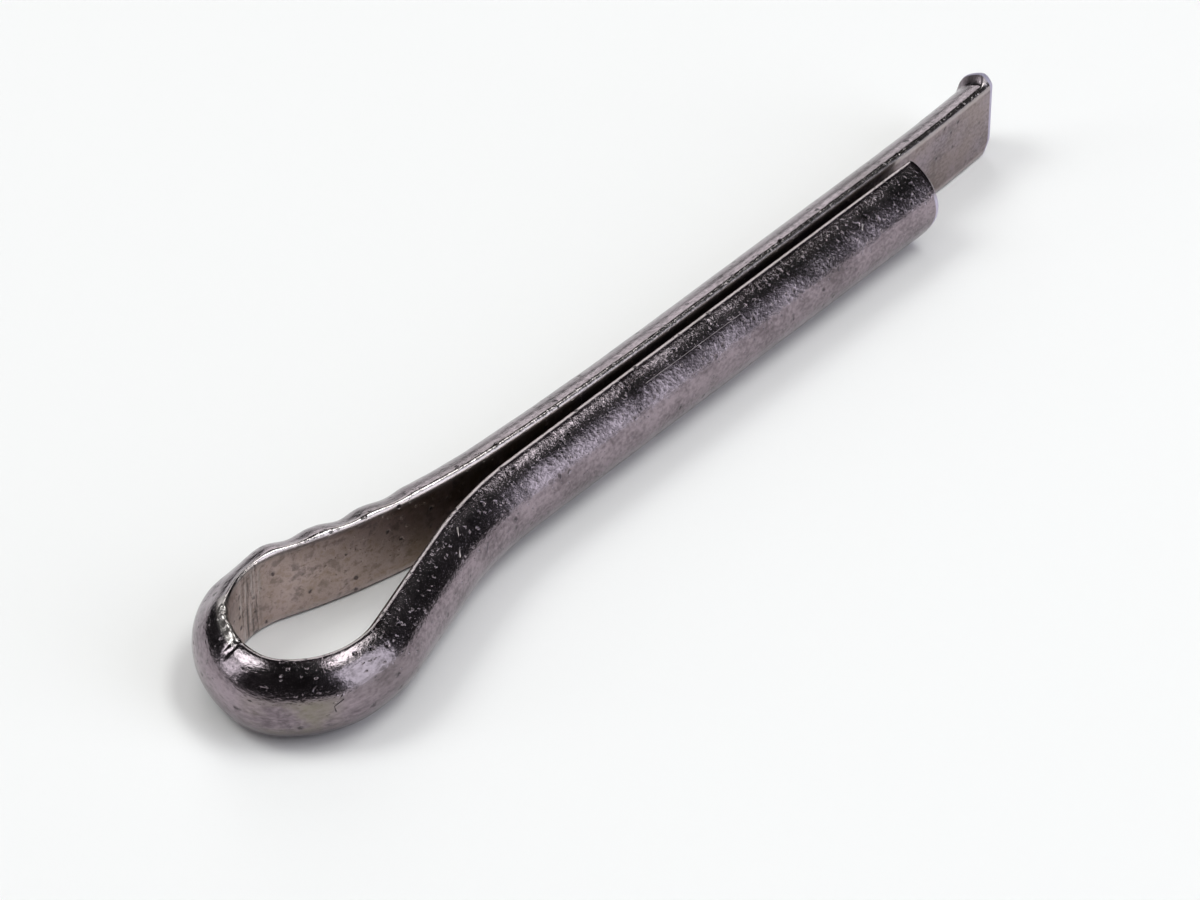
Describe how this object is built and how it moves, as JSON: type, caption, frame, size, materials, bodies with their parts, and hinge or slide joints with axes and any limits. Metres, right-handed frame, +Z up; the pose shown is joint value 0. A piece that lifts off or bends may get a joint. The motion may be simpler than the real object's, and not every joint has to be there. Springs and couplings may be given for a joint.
{
  "type": "cotter pin",
  "caption": "Split cotter pin of half-round steel wire folded into an eye and two flat-to-flat legs, one longer, for locking a pin or nut.",
  "frame": {"origin": "on the shank's axis at the eye's shoulder, where the two legs begin to spread into the eye", "axes": "+X along the shank towards the leg ends, +Y from the short leg to the long leg, +Z up off the surface the pin lies on"},
  "size_m": [0.0364, 0.007, 0.0028],
  "materials": {
    "steel": "bright drawn steel wire, worn and finely pitted, with faint die lines along it"
  },
  "bodies": {
    "root": {"pin": "steel"}
  },
  "joints": []
}
